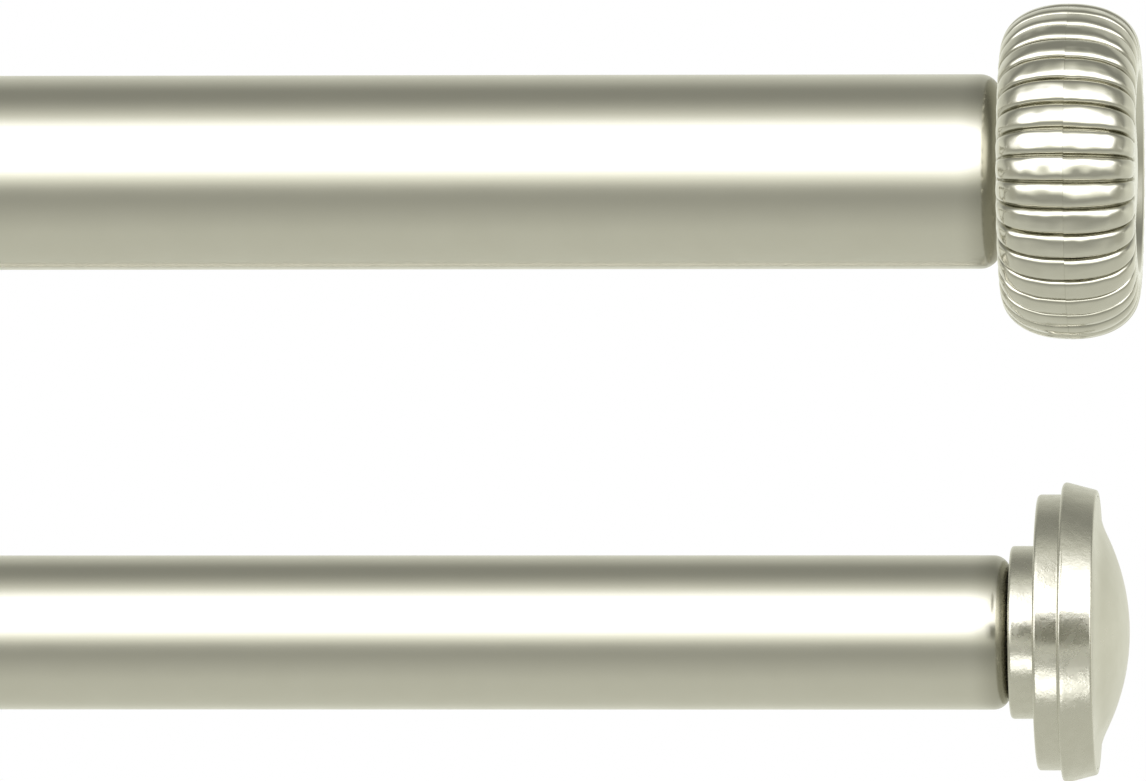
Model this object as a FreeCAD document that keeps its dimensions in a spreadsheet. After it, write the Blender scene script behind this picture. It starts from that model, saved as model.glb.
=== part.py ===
"""Double curtain rod on two wall brackets: a parametric FreeCAD document, in millimetres.

X runs along the rods, the wall is the plane Y = 0 and the room lies towards -Y, Z is up.
The origin is the middle of the four wall screw holes.  Both rods telescope: each has an outer tube
whose closed-in end points right and an inner tube that slides out to the left.
"""

import FreeCAD, Part
import math
import os
import re

import Sketcher

# ---------------------------------------------------------------- driving dimensions
DIMENSIONS = {
    # both rods
    "tube_length": 660.0,         # every tube is cut to this length
    "plug_depth": 24.0,           # how far an end fitting's stem reaches into its tube
    "fit_gap": 0.1,               # all round whatever slides or drops in
    "press_gap": 0.05,            # all round whatever is pressed or screwed in
    "overrun": 1.0,               # how far a cut starts or ends clear of what it cuts
    "neck_radius": 6.0,           # stem's neck, pressed into a finial or a cap
    "neck_length": 9.0,
    "slot_width": 1.6,            # cross slots that let the stem spring
    "slot_floor": 8.0,            # how far short of the tube's end the slots stop
    "stem_bore": 4.0,
    "stem_floor": 6.0,            # how far short of the tube's end the bore stops
    "stem_lead": 2.0,             # length of the stem's tapered tip
    "stem_taper": 1.0,
    # front rod, the upper and thicker one
    "front_reach": 355.5,         # middle of the rod to each tube end
    "front_out": 135.0,           # wall to rod axis
    "front_rise": 30.0,           # screw pattern's middle up to the rod axis
    "front_tube": 25.4,
    "front_inner": 22.2,
    "front_wall": 0.8,
    "front_roll": 2.6,            # radius of the rolled-in tube end
    "front_lip": 10.0,            # radius of the opening left in that end
    "front_inner_lip": 8.4,
    # rear rod, the lower and thinner one
    "rear_reach": 353.5,
    "rear_out": 70.0,
    "rear_drop": 30.0,
    "rear_tube": 20.6,
    "rear_inner": 17.5,
    "rear_wall": 0.7,
    "rear_roll": 2.2,
    "rear_lip": 8.0,
    "rear_inner_lip": 6.4,
    # plastic guides between the tubes
    "bush_length": 14.0,
    "bush_rim": 1.2,
    "rim_inset": 0.1,             # bush rim's edge inside the tube's surface
    "glide_ring": 8.0,
    "glide_spigot": 12.0,
    "glide_wall": 1.8,
    # fluted finial
    "finial_width": 18.0,
    "finial_radius": 21.85,
    "foot_radius": 15.45,         # where the crown meets the flat side faces
    "shoulder_arc": 5.5,
    "finial_wall": 1.7,
    "finial_floor": 2.0,
    "boss_radius": 8.5,
    "boss_length": 10.0,
    "haunch": 4.0,                # where the hollow starts to narrow towards a side face
    "face_back": 3.4,             # thickness of the closed side
    "tongue": 1.2,                # locating ring between the two halves
    "tongue_wall": 0.9,
    "tongue_gap": 0.3,
    "button_radius": 12.4,        # domed middle of the outer face
    "button_rise": 0.9,
    "button_sink": 1.2,
    "button_slope": 1.0,          # width of the slope down to the button
    "flutes": 38.0,
    "flute_radius": 0.45,
    "flute_sink": 0.1,            # flute's centre line below the crown
    "flute_tail": 1.5,            # how far a flute runs down the side face
    # stepped end cap
    "step_one_radius": 11.5,
    "step_one": 3.6,
    "step_two_radius": 18.35,
    "step_two": 3.35,
    "rim_radius": 20.1,
    "rim_taper": 1.2,
    "rim_depth": 4.6,
    "rim_land": 0.75,             # width of the rim around the domed face
    "cap_wall": 1.7,
    "face_seat": 2.2,
    "dome_radius": 29.5,
    "dome_edge": 13.0,            # where the dome turns into the cove
    "cap_edge": 0.45,
    # wall brackets
    "bracket_half": 190.0,        # middle of the rod to each bracket
    "plate_width": 28.0,
    "plate_height": 118.0,
    "plate_depth": 4.0,
    "plate_edge": 1.2,
    "wall_hole": 2.4,             # radius of each wall screw hole
    "wall_hole_rise": 48.0,
    "wall_countersink": 2.3,
    "fixing_hole": 2.6,
    "fixing_countersink": 2.2,
    "fixing_thread": 2.0,
    "fixing_length": 12.0,
    "fixing_sink": 0.3,           # head below the plate's back
    "drive_radius": 1.6,
    "drive_depth": 1.6,
    "flange_radius": 10.5,
    "flange_depth": 3.0,
    "flange_edge": 0.9,
    "flange_step": 2.0,           # length of the smaller step in front of the flange
    # arms
    "arm_blind": 10.0,            # solid foot of an arm, drilled for its fixing screw
    "sleeve_floor": 2.0,          # web between the drilled foot and the sleeve's bore
    "sleeve_radius": 7.0,
    "sleeve_length": 88.0,
    "collar_radius": 8.2,
    "collar_length": 12.0,
    "slide_radius": 5.5,
    "slide_start": 28.0,
    "rear_arm_radius": 6.0,
    "spigot_radius": 3.95,
    "spigot_length": 8.8,
    # cradles
    "cradle_width": 18.0,
    "cradle_gap": 0.3,            # between tube and cradle
    "cradle_wall": 3.4,
    "cradle_lip": 7.0,            # top of the front lip above the rod axis
    "cradle_back": 10.0,          # top of the back wall above the rod axis
    "cradle_edge": 0.8,
    "hub_radius": 8.0,
    "hub_length": 8.0,
    "hub_root": 1.0,              # how far a hub or a boss runs into the cradle's wall
    "boss_stand": 1.6,            # screw boss in front of the cradle's wall
    # hand screws
    "screw_radius": 1.95,
    "screw_gap": 0.1,
    "tip_edge": 0.4,
    "screw_bite": 0.05,           # left between a screw's tip and what it clamps
    "head_radius": 4.6,
    "head_length": 6.5,
    "head_edge": 0.6,
    "head_stand": 1.0,            # head clear of the surface it closes on
    "knurls": 20.0,
    "knurl_radius": 0.55,
}

# Derived sizes, as expressions of the cells above, in the words that the outlines use.
CROWN_ARC = ("(((finial_width / 2 - shoulder_arc)^2 + (finial_radius - foot_radius)^2"
             " - shoulder_arc^2) / (2 * (finial_radius - foot_radius - shoulder_arc)))")
CROWN_CENTRE = f"(finial_radius - {CROWN_ARC})"
JOIN_SHARE = f"(shoulder_arc / ({CROWN_ARC} - shoulder_arc))"
JOIN_X = f"(shoulder_arc - (finial_width / 2 - shoulder_arc) * {JOIN_SHARE})"
JOIN_R = f"(foot_radius + (foot_radius - {CROWN_CENTRE}) * {JOIN_SHARE})"
CAP_DEPTH = "(step_one + step_two + rim_depth)"
FACE_EDGE = "(rim_radius - rim_taper - rim_land - press_gap)"
DOME_DROP = "(dome_radius - sqrt(dome_radius^2 - dome_edge^2))"
COVE_RADIUS = f"(({FACE_EDGE} - dome_edge) * dome_radius / dome_edge)"
COVE_DROP = f"({COVE_RADIUS} - sqrt({COVE_RADIUS}^2 - ({FACE_EDGE} - dome_edge)^2))"

doc = FreeCAD.newDocument("double_curtain_rod")
sheet = doc.addObject("Spreadsheet::Sheet", "Params")
for row, (alias, value) in enumerate(DIMENSIONS.items(), start=1):
    sheet.set(f"A{row}", alias)
    sheet.set(f"B{row}", str(value))
    sheet.setAlias(f"B{row}", alias)
doc.recompute()


def cells(expression):
    """The expression with each alias pointing at its cell of the sheet."""
    return re.sub(r"[a-z_]+", lambda m: "Params." + m.group() if m.group() in DIMENSIONS else m.group(),
                  expression)


def number(expression):
    """What an expression of the sheet's cells comes to now."""
    return float(sheet.evalExpression(cells(expression)))


# ---------------------------------------------------------------- sketches
def point(x, y, bind="xy", arc=None):
    """A corner of an outline.  bind says which coordinates are held; arc is the centre of a round edge
    to the next corner and the way it turns: (x, y, +1 for anticlockwise or -1 for clockwise)."""
    return {"x": x, "y": y, "bind": bind, "arc": arc}


def hold(sketch, kind, geometry, end, expression):
    """Holds one coordinate of a sketch point to an expression of the sheet."""
    index = sketch.addConstraint(Sketcher.Constraint(kind, geometry, end, number(expression)))
    sketch.setExpression(f"Constraints[{index}]", cells(expression))


def new_sketch(body, plane, offset="0"):
    """An empty sketch on one of the body's origin planes, moved along its normal by offset."""
    sketch = body.newObject("Sketcher::SketchObject", body.Name + "_sketch")
    origin_plane = [f for f in body.Origin.OriginFeatures if f.Role == plane][0]
    sketch.AttachmentSupport = [(origin_plane, "")]
    sketch.MapMode = "FlatFace"
    sketch.setExpression("AttachmentOffset.Base.z", cells(offset))
    return sketch


def draw_outline(sketch, corners, closed=True):
    """Draws lines and arcs from corner to corner and holds every corner and arc centre."""
    spots = [FreeCAD.Vector(number(c["x"]), number(c["y"]), 0) for c in corners]
    count = len(corners) if closed else len(corners) - 1
    ends = []
    for i in range(count):
        corner, start, finish = corners[i], spots[i], spots[(i + 1) % len(spots)]
        if corner["arc"] is None:
            geometry = sketch.addGeometry(Part.LineSegment(start, finish))
            ends.append((geometry, 1, 2))
            continue
        centre = FreeCAD.Vector(number(corner["arc"][0]), number(corner["arc"][1]), 0)
        circle = Part.Circle(centre, FreeCAD.Vector(0, 0, 1), (start - centre).Length)
        angles = [math.atan2(p.y - centre.y, p.x - centre.x) for p in (start, finish)]
        turns = corner["arc"][2]
        if turns < 0:
            angles.reverse()
        geometry = sketch.addGeometry(Part.ArcOfCircle(circle, angles[0], angles[1]))
        ends.append((geometry, 1, 2) if turns > 0 else (geometry, 2, 1))
        hold(sketch, "DistanceX", geometry, 3, corner["arc"][0])
        hold(sketch, "DistanceY", geometry, 3, corner["arc"][1])
    for i in range(count if closed else count - 1):
        first, second = ends[i], ends[(i + 1) % count]
        sketch.addConstraint(Sketcher.Constraint("Coincident", first[0], first[2], second[0], second[1]))
    for i, corner in enumerate(corners):
        geometry, end = (ends[i][0], ends[i][1]) if i < count else (ends[-1][0], ends[-1][2])
        if "x" in corner["bind"]:
            hold(sketch, "DistanceX", geometry, end, corner["x"])
        if "y" in corner["bind"]:
            hold(sketch, "DistanceY", geometry, end, corner["y"])


def draw_circle(sketch, x, y, radius):
    """A circle held by its centre and radius."""
    circle = Part.Circle(FreeCAD.Vector(number(x), number(y), 0), FreeCAD.Vector(0, 0, 1), number(radius))
    geometry = sketch.addGeometry(circle)
    hold(sketch, "DistanceX", geometry, 3, x)
    hold(sketch, "DistanceY", geometry, 3, y)
    index = sketch.addConstraint(Sketcher.Constraint("Radius", geometry, number(radius)))
    sketch.setExpression(f"Constraints[{index}]", cells(radius))


# ---------------------------------------------------------------- features
def new_body(label):
    """A body whose label names its file."""
    body = doc.addObject("PartDesign::Body", label)
    body.Label = label
    return body


def axis_of(body, role):
    """One of the body's origin axes."""
    return [f for f in body.Origin.OriginFeatures if f.Role == role][0]


def turn(body, corners, plane="XY_Plane"):
    """Turns an outline, drawn as distance along the axis and radius, round the body's X axis."""
    sketch = new_sketch(body, plane)
    draw_outline(sketch, corners)
    revolution = body.newObject("PartDesign::Revolution", body.Name + "_turned")
    revolution.Profile = sketch
    revolution.ReferenceAxis = (axis_of(body, "X_Axis"), [""])
    revolution.Angle = 360
    doc.recompute()
    return revolution


def pad(body, sketch, length, both_ways=False, reverse=False):
    """Pads a sketch along its normal."""
    feature = body.newObject("PartDesign::Pad", body.Name + "_pad")
    feature.Profile = sketch
    feature.setExpression("Length", cells(length))
    feature.Midplane = both_ways
    feature.Reversed = reverse
    doc.recompute()
    return feature


def pocket(body, sketch, length, both_ways=False, reverse=False):
    """Cuts a sketch along its normal, and stops if nothing was cut."""
    before = body.Shape.Volume
    feature = body.newObject("PartDesign::Pocket", body.Name + "_pocket")
    feature.Profile = sketch
    feature.setExpression("Length", cells(length))
    feature.Midplane = both_ways
    feature.Reversed = reverse
    doc.recompute()
    if not body.Shape.Volume < before - 0.01:
        raise RuntimeError(f"{body.Label}: a pocket cut nothing")
    return feature


def circle_edges(body, planes):
    """Names of the circular edges that lie at the given (axis, position, radius) places."""
    names = []
    for i, edge in enumerate(body.Tip.Shape.Edges, start=1):
        if not hasattr(edge, "Curve") or edge.Curve.TypeId != "Part::GeomCircle":
            continue
        for axis, position, radius in planes:
            centre = edge.Curve.Center
            if abs(getattr(centre, axis) - number(position)) < 1e-4 and \
                    abs(edge.Curve.Radius - number(radius)) < 1e-4:
                names.append(f"Edge{i}")
    return names


def dress(body, kind, size, names):
    """A Fillet or a Chamfer of the sheet's size on the named edges of the body's tip."""
    if not names:
        raise RuntimeError(f"{body.Label}: no edge to dress")
    base = body.Tip
    feature = body.newObject("PartDesign::" + kind, body.Name + "_" + kind.lower())
    feature.Base = (base, names)
    feature.setExpression("Radius" if kind == "Fillet" else "Size", cells(size))
    doc.recompute()
    return feature


def repeat_round(body, feature, axis, count):
    """Repeats a feature evenly round one of the body's axes."""
    pattern = body.newObject("PartDesign::PolarPattern", body.Name + "_pattern")
    pattern.Originals = [feature]
    pattern.Axis = (axis_of(body, axis), [""])
    pattern.Angle = 360
    pattern.setExpression("Occurrences", cells(count))
    body.Tip = pattern
    doc.recompute()
    return pattern


def place(body, x, y, z, axis=(0, 0, 1), angle=0.0):
    """Turns a piece about an axis through its own origin, then sets it down at a point."""
    spot = FreeCAD.Vector(number(x), number(y), number(z))
    body.Placement = FreeCAD.Placement(spot, FreeCAD.Rotation(FreeCAD.Vector(*axis), angle))
    for name, expression in zip("xyz", (x, y, z)):
        body.setExpression(f"Placement.Base.{name}", cells(expression))
    return body


def mirror_left(piece, label):
    """The left-hand twin of a right-hand piece."""
    twin = doc.addObject("Part::Mirroring", label)
    twin.Label = label
    twin.Source = piece
    twin.Base = (0, 0, 0)
    twin.Normal = (1, 0, 0)
    return twin


def right_and_left(piece, name):
    """A right-hand piece and its twin, both ready to export."""
    return [piece, mirror_left(piece, name + "_left")]


# ---------------------------------------------------------------- rods
def tube(label, diameter, wall, roll, lip):
    """A thin tube from X = -tube_length to X = 0, whose end at X = 0 is rolled in to a round lip."""
    body = new_body(label)
    outside = f"{diameter} / 2"
    inside = f"({diameter} / 2 - {wall})"
    turn(body, [
        point("-tube_length", inside), point("-tube_length", outside), point("0", outside),
        point("0", lip), point(f"-{wall}", lip), point(f"-{wall}", inside),
    ])
    dress(body, "Fillet", roll, circle_edges(body, [("x", "0", outside)]))
    dress(body, "Fillet", f"{roll} - {wall}", circle_edges(body, [("x", f"-{wall}", inside)]))
    return body


def guide_bush(label, diameter, wall, inner):
    """Plastic sleeve in the open mouth of an outer tube, its rim outside the mouth at X < 0."""
    body = new_body(label)
    bore = f"({inner} / 2 + fit_gap)"
    sleeve = f"({diameter} / 2 - {wall} - press_gap)"
    turn(body, [
        point("-bush_rim", bore), point("-bush_rim", f"{diameter} / 2 - rim_inset"),
        point("0", f"{diameter} / 2 - rim_inset"), point("0", sleeve),
        point("bush_length", sleeve), point("bush_length", bore),
    ])
    return body


def inner_glide(label, diameter, wall, inner):
    """Plastic ring on the hidden end of an inner tube: the ring rides in the outer tube."""
    body = new_body(label)
    ring = f"({diameter} / 2 - {wall} - fit_gap)"
    spigot = f"({inner} / 2 - {wall} - press_gap)"
    bore = f"({spigot} - glide_wall)"
    turn(body, [
        point("-glide_spigot", bore), point("-glide_spigot", spigot), point("0", spigot),
        point("0", ring), point("glide_ring", ring), point("glide_ring", bore),
    ])
    return body


def end_plug(label, lip):
    """Plastic plug: a split stem that grips a tube's lip, and a neck that holds a finial or a cap."""
    body = new_body(label)
    stem = f"({lip} - fit_gap)"
    turn(body, [
        point("-plug_depth", "stem_bore"), point("-plug_depth", f"{stem} - stem_taper"),
        point("-plug_depth + stem_lead", stem), point("0", stem), point("0", "neck_radius"),
        point("neck_length", "neck_radius"), point("neck_length", "0"), point("-stem_floor", "0"),
        point("-stem_floor", "stem_bore"),
    ])
    for plane in ("XY_Plane", "XZ_Plane"):
        slot = new_sketch(body, plane)
        draw_outline(slot, [
            point("-plug_depth - overrun", "-slot_width / 2"), point("-slot_floor", "-slot_width / 2"),
            point("-slot_floor", "slot_width / 2"), point("-plug_depth - overrun", "slot_width / 2"),
        ])
        pocket(body, slot, f"3 * {lip}", both_ways=True)
    return body


# ---------------------------------------------------------------- fluted finial
# The flutes start in the XY plane; a quarter turn away, the turned surface's seam falls on a rib.
BETWEEN_FLUTES = "XZ_Plane"


def crown_path(mirrored):
    """Corners of the crown, from the middle of its width down to the side face."""
    def across(x):
        return f"(finial_width - {x})" if mirrored else x
    side = 1 if not mirrored else -1
    return [
        point(across("finial_width / 2"), "finial_radius",
              arc=("finial_width / 2", CROWN_CENTRE, side)),
        point(across(JOIN_X), JOIN_R, bind="x", arc=(across("shoulder_arc"), "foot_radius", side)),
        point(across("0"), "foot_radius", bind="y"),
    ]


def flute(body, mirrored):
    """Cuts the grooves between the ribs: one pipe that follows the crown, repeated round the axis."""
    def across(x):
        return f"(finial_width - {x})" if mirrored else x
    path = new_sketch(body, "XY_Plane")
    corners = crown_path(mirrored)
    top = "finial_radius - flute_sink"
    shrink = "(1 - flute_sink / shoulder_arc)"
    corners[0] = point(across("finial_width / 2"), top, arc=corners[0]["arc"])
    corners[1] = point(across(f"(shoulder_arc + ({JOIN_X} - shoulder_arc) * {shrink})"),
                       f"(foot_radius + ({JOIN_R} - foot_radius) * {shrink})",
                       bind="x", arc=corners[1]["arc"])
    corners[2] = point(across("flute_sink"), "foot_radius", bind="y")
    run_in = point(across("(finial_width / 2 + overrun)"), top)
    run_out = point(across("flute_sink"), "foot_radius - flute_tail", bind="y")
    draw_outline(path, [run_in] + corners + [run_out], closed=False)
    path.addConstraint(Sketcher.Constraint("Vertical", path.GeometryCount - 1))
    section = new_sketch(body, "YZ_Plane", across("(finial_width / 2 + overrun)"))
    draw_circle(section, top, "0", "flute_radius")
    doc.recompute()
    before = body.Shape.Volume
    pipe = body.newObject("PartDesign::SubtractivePipe", body.Name + "_flute")
    pipe.Profile = section
    pipe.Spine = path
    doc.recompute()
    repeat_round(body, pipe, "X_Axis", "flutes")
    if not body.Shape.Volume < before - 1:
        raise RuntimeError(f"{body.Label}: the flutes cut nothing")


def finial_inner_half(label):
    """Half shell next to the rod: flat back, crown, and a boss for the plug's neck."""
    body = new_body(label)
    bore = "(neck_radius + press_gap)"
    turn(body, reversed_corners(crown_path(False)) + [
        point("finial_width / 2", "finial_radius - finial_wall"),
        point("finial_width / 2 - tongue - tongue_gap", "finial_radius - finial_wall"),
        point("haunch", "finial_radius - finial_wall - tongue_wall"),
        point("finial_floor", "foot_radius"), point("finial_floor", "boss_radius"),
        point("boss_length", "boss_radius"), point("boss_length", bore), point("0", bore),
    ], BETWEEN_FLUTES)
    flute(body, False)
    return body


def finial_outer_half(label):
    """Half shell that closes the end: crown, rim, sunk domed button, and a locating tongue inside."""
    body = new_body(label)
    shelf = "(finial_width - button_sink)"
    button_arc = "((button_radius^2 + button_rise^2) / (2 * button_rise))"
    back = "(finial_width - face_back)"
    outside = "(finial_radius - finial_wall - press_gap)"
    inside = f"({outside} - tongue_wall)"
    corners = crown_path(True) + [
        point("finial_width", "button_radius + button_slope"),
        point(shelf, "button_radius", arc=(f"({shelf} + button_rise - {button_arc})", "0", -1)),
        point(f"{shelf} + button_rise", "0", bind="y"), point(back, "0"),
        point(back, "foot_radius - tongue_wall"), point("finial_width - haunch", f"{inside} + press_gap"),
        point("finial_width / 2 + tongue", inside), point("finial_width / 2 - tongue", inside),
        point("finial_width / 2 - tongue", outside), point("finial_width / 2", outside),
    ]
    turn(body, corners, BETWEEN_FLUTES)
    flute(body, True)
    return body


def reversed_corners(corners):
    """The same outline walked the other way."""
    walked = []
    for i in range(len(corners) - 1, -1, -1):
        arc = corners[i - 1]["arc"] if i > 0 else None
        if arc is not None:
            arc = (arc[0], arc[1], -arc[2])
        walked.append(point(corners[i]["x"], corners[i]["y"], corners[i]["bind"], arc))
    return walked


# ---------------------------------------------------------------- stepped end cap
def cap_base(label):
    """Three steps that widen away from the rod, hollow inside, with a boss for the plug's neck."""
    body = new_body(label)
    bore = "(neck_radius + press_gap)"
    second = "step_one + step_two"
    hollow = "(step_two_radius - cap_wall)"
    turn(body, [
        point("0", bore), point("0", "step_one_radius"), point("step_one", "step_one_radius"),
        point("step_one", "step_two_radius"), point(second, "step_two_radius"),
        point(second, "rim_radius"), point(CAP_DEPTH, "rim_radius - rim_taper"),
        point(CAP_DEPTH, f"{FACE_EDGE} + press_gap"),
        point(f"{CAP_DEPTH} - face_seat", f"{FACE_EDGE} + press_gap"),
        point(f"{CAP_DEPTH} - face_seat", hollow), point("step_one + cap_wall", hollow),
        point("step_one + cap_wall", "boss_radius"), point(f"{CAP_DEPTH} - face_seat", "boss_radius"),
        point(f"{CAP_DEPTH} - face_seat", bore),
    ])
    dress(body, "Fillet", "cap_edge", circle_edges(body, [
        ("x", "0", "step_one_radius"), ("x", "step_one", "step_two_radius"),
        ("x", second, "rim_radius"), ("x", CAP_DEPTH, "rim_radius - rim_taper"),
    ]))
    return body


def cap_face(label):
    """Domed disc that snaps into the rim: a dome that runs out in a shallow cove."""
    body = new_body(label)
    apex = f"({CAP_DEPTH} + {DOME_DROP} + {COVE_DROP})"
    turn(body, [
        point(f"{CAP_DEPTH} - face_seat", "0"), point(f"{CAP_DEPTH} - face_seat", FACE_EDGE),
        point(CAP_DEPTH, FACE_EDGE, bind="x", arc=(f"({CAP_DEPTH} + {COVE_RADIUS})", FACE_EDGE, 1)),
        point(f"{CAP_DEPTH} + {COVE_DROP}", "dome_edge", bind="y",
              arc=(f"({apex} - dome_radius)", "0", -1)),
        point(apex, "0", bind="y"),
    ])
    return body


# ---------------------------------------------------------------- wall brackets
def wall_plate(label):
    """Tall plate with round ends: two screw holes to the wall and one fixing hole behind each arm."""
    body = new_body(label)
    half = "plate_width / 2"
    straight = "(plate_height / 2 - plate_width / 2)"
    outline = new_sketch(body, "XZ_Plane")
    draw_outline(outline, [
        point(half, f"(0 - {straight})"), point(half, straight, arc=("0", straight, 1)),
        point(f"(0 - {half})", straight, bind="y"),
        point(f"(0 - {half})", f"(0 - {straight})", bind="y", arc=("0", f"(0 - {straight})", 1)),
    ])
    pad(body, outline, "plate_depth")
    dress(body, "Fillet", "plate_edge", edges_at(body, "y", "-plate_depth"))
    for radius, rise in (("wall_hole", "wall_hole_rise"), ("fixing_hole", "front_rise")):
        for sign in ("", "-"):
            hole = new_sketch(body, "XZ_Plane")
            draw_circle(hole, "0", f"{sign}{rise}", radius)
            pocket(body, hole, "plate_depth", reverse=True)
    dress(body, "Chamfer", "wall_countersink", circle_edges(body, [("y", "-plate_depth", "wall_hole")]))
    dress(body, "Chamfer", "fixing_countersink", circle_edges(body, [("y", "0", "fixing_hole")]))
    return body


def fixing_screw(label):
    """Countersunk screw that goes in from behind the plate and pulls an arm against its front."""
    body = new_body(label)
    shank = "(fixing_thread - press_gap)"
    head = "(fixing_hole + fixing_countersink - fixing_sink - fit_gap)"
    turn(body, [
        point("fixing_sink", "drive_radius"), point("fixing_sink", head),
        point(f"fixing_sink + {head} - {shank}", shank), point("fixing_length", shank),
        point("fixing_length", "0"), point("fixing_sink + drive_depth", "0"),
        point("fixing_sink + drive_depth", "drive_radius"),
    ])
    return body


def arm_foot(outside):
    """Outline corners of an arm's drilled foot and stepped flange, then its outside surface."""
    return [
        point("0", "fixing_thread"), point("0", "flange_radius"), point("flange_depth", "flange_radius"),
        point("flange_depth", "collar_radius"), point("flange_depth + flange_step", "collar_radius"),
        point("flange_depth + flange_step", outside),
    ]


def round_flange(body):
    """Rounds a flange's front edge and the step in front of it."""
    dress(body, "Fillet", "flange_edge", circle_edges(body, [
        ("x", "flange_depth", "flange_radius"), ("x", "flange_depth + flange_step", "collar_radius"),
    ]))


def front_sleeve(label):
    """Fixed half of the front arm: a tube that the slide telescopes in, with a collar for its screw."""
    body = new_body(label)
    bore = "(slide_radius + fit_gap)"
    collar = "(sleeve_length - collar_length)"
    turn(body, arm_foot("sleeve_radius") + [
        point(collar, "sleeve_radius"), point(collar, "collar_radius"),
        point("sleeve_length", "collar_radius"), point("sleeve_length", bore),
        point("arm_blind + sleeve_floor", bore), point("arm_blind + sleeve_floor", "0"),
        point("arm_blind", "0"), point("arm_blind", "fixing_thread"),
    ])
    round_flange(body)
    dress(body, "Fillet", "head_edge", circle_edges(body, [
        ("x", collar, "collar_radius"), ("x", "sleeve_length", "collar_radius"),
    ]))
    hole = new_sketch(body, "XY_Plane")
    draw_circle(hole, f"{collar} + collar_length / 2", "0", "screw_radius + screw_gap")
    pocket(body, hole, "collar_radius + overrun")
    return body


def hub_face(tube_diameter, out):
    """Distance from the plate's front to the back of a cradle's hub."""
    return (f"({out} - plate_depth - {tube_diameter} / 2 - cradle_gap - cradle_wall - hub_length)")


def front_slide(label):
    """Moving half of the front arm, with a spigot pressed into the cradle's hub."""
    body = new_body(label)
    shoulder = hub_face("front_tube", "front_out")
    turn(body, [
        point("slide_start", "0"), point("slide_start", "slide_radius"),
        point(shoulder, "slide_radius"), point(shoulder, "spigot_radius"),
        point(f"{shoulder} + spigot_length", "spigot_radius"), point(f"{shoulder} + spigot_length", "0"),
    ])
    return body


def rear_arm(label):
    """Short solid arm of the rear rod, with the same foot and spigot as the front one."""
    body = new_body(label)
    shoulder = hub_face("rear_tube", "rear_out")
    turn(body, arm_foot("rear_arm_radius") + [
        point(shoulder, "rear_arm_radius"), point(shoulder, "spigot_radius"),
        point(f"{shoulder} + spigot_length", "spigot_radius"), point(f"{shoulder} + spigot_length", "0"),
        point("arm_blind", "0"), point("arm_blind", "fixing_thread"),
    ])
    round_flange(body)
    return body


def cradle(label, tube_diameter):
    """Open-topped cradle round a rod's axis: U-shaped wall, hub behind it, screw boss in front."""
    body = new_body(label)
    inside = f"({tube_diameter} / 2 + cradle_gap)"
    outside = f"({tube_diameter} / 2 + cradle_gap + cradle_wall)"
    wall = new_sketch(body, "YZ_Plane")
    draw_outline(wall, [
        point(inside, "cradle_back"), point(inside, "0", arc=("0", "0", -1)),
        point(f"(0 - {inside})", "0", bind="y"), point(f"(0 - {inside})", "cradle_lip"),
        point(f"(0 - {outside})", "cradle_lip"), point(f"(0 - {outside})", "0", arc=("0", "0", 1)),
        point(outside, "0", bind="y"), point(outside, "cradle_back"),
    ])
    pad(body, wall, "cradle_width", both_ways=True)
    sides = edges_at(body, "x", "cradle_width / 2") + edges_at(body, "x", "-cradle_width / 2")
    dress(body, "Fillet", "cradle_edge", sides)
    hub = new_sketch(body, "XZ_Plane", f"(0 - {outside} + hub_root)")
    draw_circle(hub, "0", "0", "hub_radius")
    pad(body, hub, "hub_length + hub_root", reverse=True)
    dress(body, "Fillet", "cradle_edge", circle_edges(body, [("y", f"{outside} + hub_length", "hub_radius")]))
    boss = new_sketch(body, "XZ_Plane", f"({outside} - hub_root)")
    draw_circle(boss, "0", "0", "head_radius")
    pad(body, boss, "hub_root + boss_stand")
    socket = new_sketch(body, "XZ_Plane", f"(0 - {outside} - hub_length)")
    draw_circle(socket, "0", "0", "spigot_radius + press_gap")
    pocket(body, socket, "spigot_length + fit_gap", reverse=True)
    thread = new_sketch(body, "XZ_Plane", f"({outside} + boss_stand + overrun)")
    draw_circle(thread, "0", "0", "screw_radius + screw_gap")
    pocket(body, thread, "cradle_wall + boss_stand + 2 * overrun")
    return body


def hand_screw(label, shank):
    """Screw with a flat tip at X = 0, a shank of the given length, and a knurled head."""
    body = new_body(label)
    end = f"({shank} + head_length)"
    turn(body, [
        point("0", "0"), point("0", "screw_radius - tip_edge"), point("tip_edge", "screw_radius"),
        point(shank, "screw_radius"), point(shank, "head_radius - head_edge"),
        point(f"{shank} + head_edge", "head_radius"), point(f"{end} - head_edge", "head_radius"),
        point(end, "head_radius - head_edge"), point(end, "0"),
    ])
    groove = new_sketch(body, "YZ_Plane", shank)
    draw_circle(groove, "head_radius + knurl_radius / 3", "0", "knurl_radius")
    repeat_round(body, pocket(body, groove, "head_length", reverse=True), "X_Axis", "knurls")
    return body


def edges_at(body, axis, position):
    """Names of the edges that lie wholly in the plane axis = position."""
    place_at = number(position)
    names = []
    for i, edge in enumerate(body.Tip.Shape.Edges, start=1):
        spots = [edge.valueAt(u) for u in (edge.FirstParameter, edge.LastParameter,
                                           (edge.FirstParameter + edge.LastParameter) / 2)]
        if all(abs(getattr(spot, axis) - place_at) < 1e-4 for spot in spots):
            names.append(f"Edge{i}")
    return names


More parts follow.
